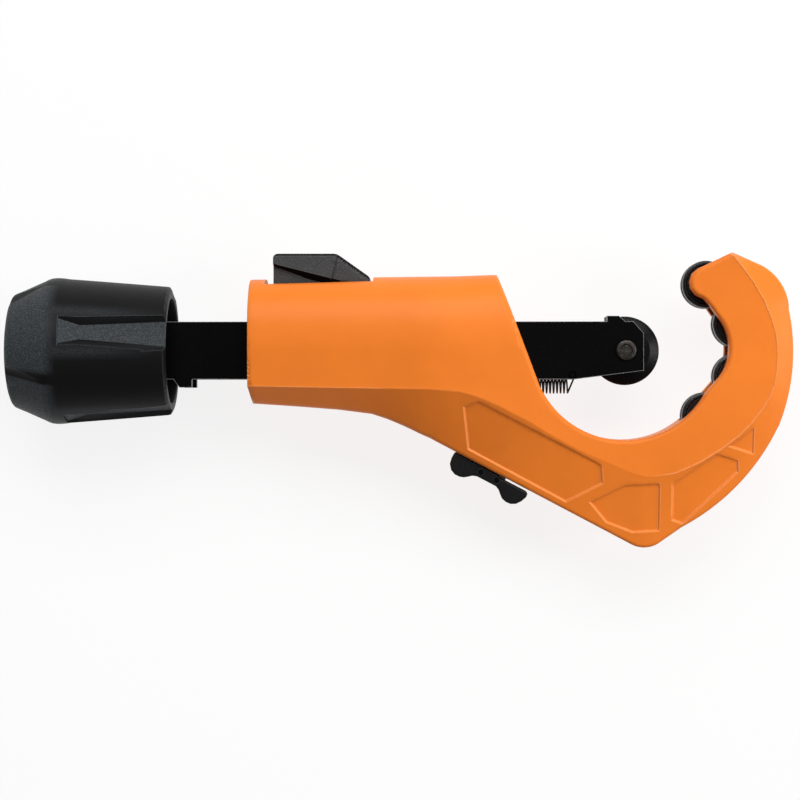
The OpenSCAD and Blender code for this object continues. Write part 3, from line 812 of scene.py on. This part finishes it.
LEVER = [(-42.8, 16.6), (-42.8, 31.3), (-42.65, 31.95), (-42.2, 32.5), (-41.6, 32.75), (-41, 32.8),
         (-22.2, 32.8), (-21.3, 32.65), (-20.6, 32.3), (-10.7, 25.3), (-10.3, 24.85), (-10.2, 24.2),
         (-10.2, 14.5), (-21, 14.5), (-21, 13.4), (-31, 13.4)]
CREASE = [(-42.8, 29.4), (-23.1, 24.4), (-15, 22.6), (-10.2, 21.8)]
CORNER = [(-21.4, 31.8), (-21.9, 29), (-23.1, 24.4)]
SLOPE = [(-20.6, 32.3), (-10.2, 24.9)]
UNDERCUT = [-42.8, -31, -23.1, -10.2], [28.7, 24.2, 22.4, 20.8]
TOP_STRIP, SLOPE_STRIP = 31.9, 1.5
STRIP_DEPTH, MARK_DEPTH, MARK_W = 0.7, 0.55, 0.28
EDGE_ROUND, INNER_HALF_Z = 0.5, 3.4


def lever_height(p):
    x, y = p.T
    line_y = np.interp(x, *zip(*CREASE))
    corner_x = np.interp(y, [24.4, 32.8], [-23.1, -21.5])
    rear_face = 6.9 - 0.09 * np.clip(y - line_y, 0, 10)
    front_face = 6.75 - 0.05 * np.clip(x - corner_x, 0, 20)
    z = np.where(x < corner_x, rear_face, front_face)
    z = z - STRIP_DEPTH * np.clip((y - TOP_STRIP) / 0.25, 0, 1)
    z = z - STRIP_DEPTH * np.clip(1 - distance(p, SLOPE)[0] / SLOPE_STRIP, 0, 1)
    z = z - MARK_DEPTH * np.exp(-(distance(p, CORNER)[0] / MARK_W) ** 2)
    below = np.clip((line_y - y) / (line_y - np.interp(x, *UNDERCUT)), 0, 1)
    depth = np.interp(x, [-42.8, -30, -23.1, -16, -10.2], [2.2, 3.0, 2.4, 0.5, 0.0])
    z = z - depth * below - 0.04 * np.clip(np.interp(x, *UNDERCUT) - y, 0, 4)
    d, _ = distance(p, LEVER, True)
    t = np.clip(EDGE_ROUND - d, 0, EDGE_ROUND)
    return np.maximum(z - (EDGE_ROUND - np.sqrt(EDGE_ROUND ** 2 - t * t)), INNER_HALF_Z)


def release_lever():
    outline = fine_line(LEVER, 0.9, True)
    below = [(x, float(np.interp(x, *UNDERCUT))) for x in (-42.7, -31, -23.1, -10.3)]
    strip = [[(-42, y), (-21.2, y)] for y in (TOP_STRIP, TOP_STRIP + 0.25)]
    crease = CREASE[:1] + [(-42.7, 29.38)] + CREASE[1:]
    marks = [fine_line(m, 0.8) for m in (crease, below, CORNER, *strip, [(-21.2, 31), (-11, 23.7)])]
    corner = marks[2]
    beside = [(x + dx, y) for x, y in corner for dx in (-0.6, -0.3, -0.15, 0.15, 0.3, 0.6)]
    pts = np.array([(x, y) for x in np.arange(-42.4, -10.3, 0.8) for y in np.arange(13.8, 32.6, 0.8)])
    ok = inside(pts, LEVER) & (distance(pts, LEVER, True)[0] > 0.9)
    for line in marks:
        ok &= distance(pts, line)[0] > 0.35
    lines = [(m, False) for m in marks if m is not corner]
    rings = corner + beside
    for d in (0.07, 0.2, 0.35, 0.5):
        rings += fine_line(inset(LEVER, d), 0.8, True)
    rings = np.array(rings)
    rings = rings[inside(rings, LEVER)]
    points = [tuple(p) for p in pts[ok]] + [tuple(p) for p in rings]
    made = relief("release_lever_shown", outline, lines, points, lever_height)
    well = post((0, 0), 0, 11, 2.7, 36)
    upright = Matrix.Rotation(math.radians(-90), 4, "X")
    well.data.transform(Matrix.Translation((LEVER_SPRING_X, 10, 0)) @ upright)
    cut(made, post(LEVER_PIN, -FAR, FAR, 1.55), box((-20, 9.35, -3.2), (-10.5, 17.5, 3.2)), well)
    tidy(made)
    for look in (lever_grey, smooth_and_shaded_lever):
        made.data.materials.append(look)
    centre = np.array([tuple(q.center) for q in made.data.polygons])
    x, y, z = centre.T
    # Faces given the darker plastic: the undercut facet below the crease, where the darkness is painted
    # shade, and the top and slope strips.
    dark = (y < np.interp(x, *zip(*CREASE)) - 0.02) & (y > np.interp(x, *UNDERCUT) + 0.02)
    dark |= (y > TOP_STRIP + 0.1) | (distance(centre[:, :2], SLOPE)[0] < 0.9)
    dark &= np.abs(z) > INNER_HALF_Z - 0.1
    made.data.polygons.foreach_set("material_index", dark.astype(int))
    return done(made, "lever", "lever_plastic", "release_lever", sharp=40)


release_lever()
bevelled("lever_pin", 0.2, "frame", "pin_steel", pin_steel)
bevelled("lock_shoe", 0.3, "lever", "block_steel", grey_steel)


def lever_spring():
    turns, low, high, r, wire_r = 5.5, 12.75, 20.65, 1.85, 0.25
    a = np.linspace(0, 2 * math.pi * turns, int(turns * 24))
    s = np.clip((a / a[-1] - 0.09) / 0.82, 0, 1)
    path = np.column_stack([LEVER_SPRING_X + r * np.cos(a), low + (high - low) * s, r * np.sin(a)])
    made = tube("lever_spring_shown", path, wire_r)
    done(made, "frame", "spring_black", "lever_spring", look=spring_wire, sharp=60)
    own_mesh(made)


lever_spring()


# ---------------------------------------------------------------- deburrer

RIVET_X, RIVET_Y = (20.5, 26.5), -2.2
THUMB_Z = 4.5


def thumb_piece():
    outline = [(9.6, -0.2), (9.5, -2.6), (9.9, -4.6), (11.2, -6.2), (13, -7), (14.8, -6.95), (16.2, -6.5),
               (17.4, -5.6), (18.5, -4.65), (20, -4.1), (27.2, -4.1), (28.6, -4.75), (29.7, -5.8),
               (30.9, -6.8), (32.6, -7.25), (34.4, -7.1), (36, -6.2), (37.2, -4.6), (38, -2.6),
               (37.9, -1.4), (37.2, -0.9), (27, -0.9), (26.6, -0.4), (26, -0.2)]
    made = prism(outline, -THUMB_Z, THUMB_Z, "thumb_piece_shown")
    apply(made, "BEVEL", width=0.8, segments=4, limit_method="ANGLE", angle_limit=math.radians(50))
    cut(made, prism([(17.9, 1), (17.9, -3.6), (29.1, -3.6), (29.1, 1)], -0.82, 0.82))
    for x in RIVET_X:
        cut(made, post((x, RIVET_Y), 4.3, 9, 1.05), post((x, RIVET_Y), -9, -4.3, 1.05))
    made.data.transform(ALONG_EDGE)
    tidy(made)
    return done(made, "deburrer", "thumb_plastic", "deburr_slider", look=thumb_black, sharp=40)


thumb_piece()


def rivets():
    sides = 32
    verts, faces = [], []
    for x in RIVET_X:
        first = len(verts) // sides
        for z, r in ((-4.4, 0.85), (-4.33, 1), (4.33, 1), (4.4, 0.85)):
            verts += [(*p, z) for p in arc(x, RIVET_Y, r, 0, 360, sides)[:-1]]
        for i in range(first, first + 3):
            faces += between_rings(i, sides)
        faces += [[i * sides + k for k in range(sides)] for i in (first, first + 3)]
    made = solid("deburr_rivets_shown", verts, faces)
    made.data.transform(ALONG_EDGE)
    return done(made, "deburrer", "pin_steel", "deburr_rivets", look=pin_black)


rivets()
bevelled("deburr_blade", 0.2, "deburrer", "blade_steel", blade_steel, segments=1)
bevelled("deburr_detent", 0.1, "frame", "clip_steel", bright_steel, segments=1)


# ---------------------------------------------------------------- floor, light, camera

def stage():
    size = 3.0
    low = cad_low.z - 0.0005
    mesh = bpy.data.meshes.new("floor")
    mesh.from_pydata([(-size, -size, low), (size, -size, low), (size, size, low), (-size, size, low)], [],
                     [[0, 1, 2, 3]])
    floor = bpy.data.objects.new("floor", mesh)
    scene.collection.objects.link(floor)
    white = bpy.data.materials.new("floor_white")
    white.use_nodes = True
    bsdf = white.node_tree.nodes["Principled BSDF"]
    bsdf.inputs["Base Color"].default_value = (0.15, 0.15, 0.15, 1)
    bsdf.inputs["Emission Color"].default_value = (1, 1, 1, 1)
    bsdf.inputs["Emission Strength"].default_value = 0.85
    bsdf.inputs["Roughness"].default_value = 0.9
    bsdf.inputs["Specular IOR Level"].default_value = 0.0
    mesh.materials.append(white)


def area_light(name, at, aim, size, power):
    data = bpy.data.lights.new(name, "AREA")
    data.shape = "RECTANGLE"
    data.size, data.size_y = size
    data.energy = power
    lamp = bpy.data.objects.new(name, data)
    lamp.location = at
    lamp.rotation_euler = (Vector(aim) - Vector(at)).to_track_quat("-Z", "Y").to_euler()
    scene.collection.objects.link(lamp)


stage()
area_light("key", (0.1, 0.78, 0.95), (0, 0, 0.02), (1.4, 0.7), 14.4)
area_light("side", (1.15, 0.05, 0.65), (0.05, 0, 0.02), (0.5, 0.7), 8.5)
world = bpy.data.worlds.new("studio")
world.use_nodes = True
world.node_tree.nodes["Background"].inputs["Color"].default_value = (1, 1, 1, 1)
world.node_tree.nodes["Background"].inputs["Strength"].default_value = 0.13
scene.world = world
scene.view_settings.view_transform = "Standard"

camera_data = bpy.data.cameras.new("camera")
camera_data.sensor_width = 36
camera_data.lens = 105.75
camera_data.clip_start, camera_data.clip_end = 0.01, 20
camera = bpy.data.objects.new("camera", camera_data)
camera.location = (0.020, 0.0, 0.824)
back = (camera.location - Vector((0.0003, 0, 0.0249))).normalized()
right = Vector((0, 1, 0)).cross(back).normalized()
camera.rotation_euler = Matrix((right, back.cross(right), back)).transposed().to_euler()
scene.collection.objects.link(camera)
scene.camera = camera
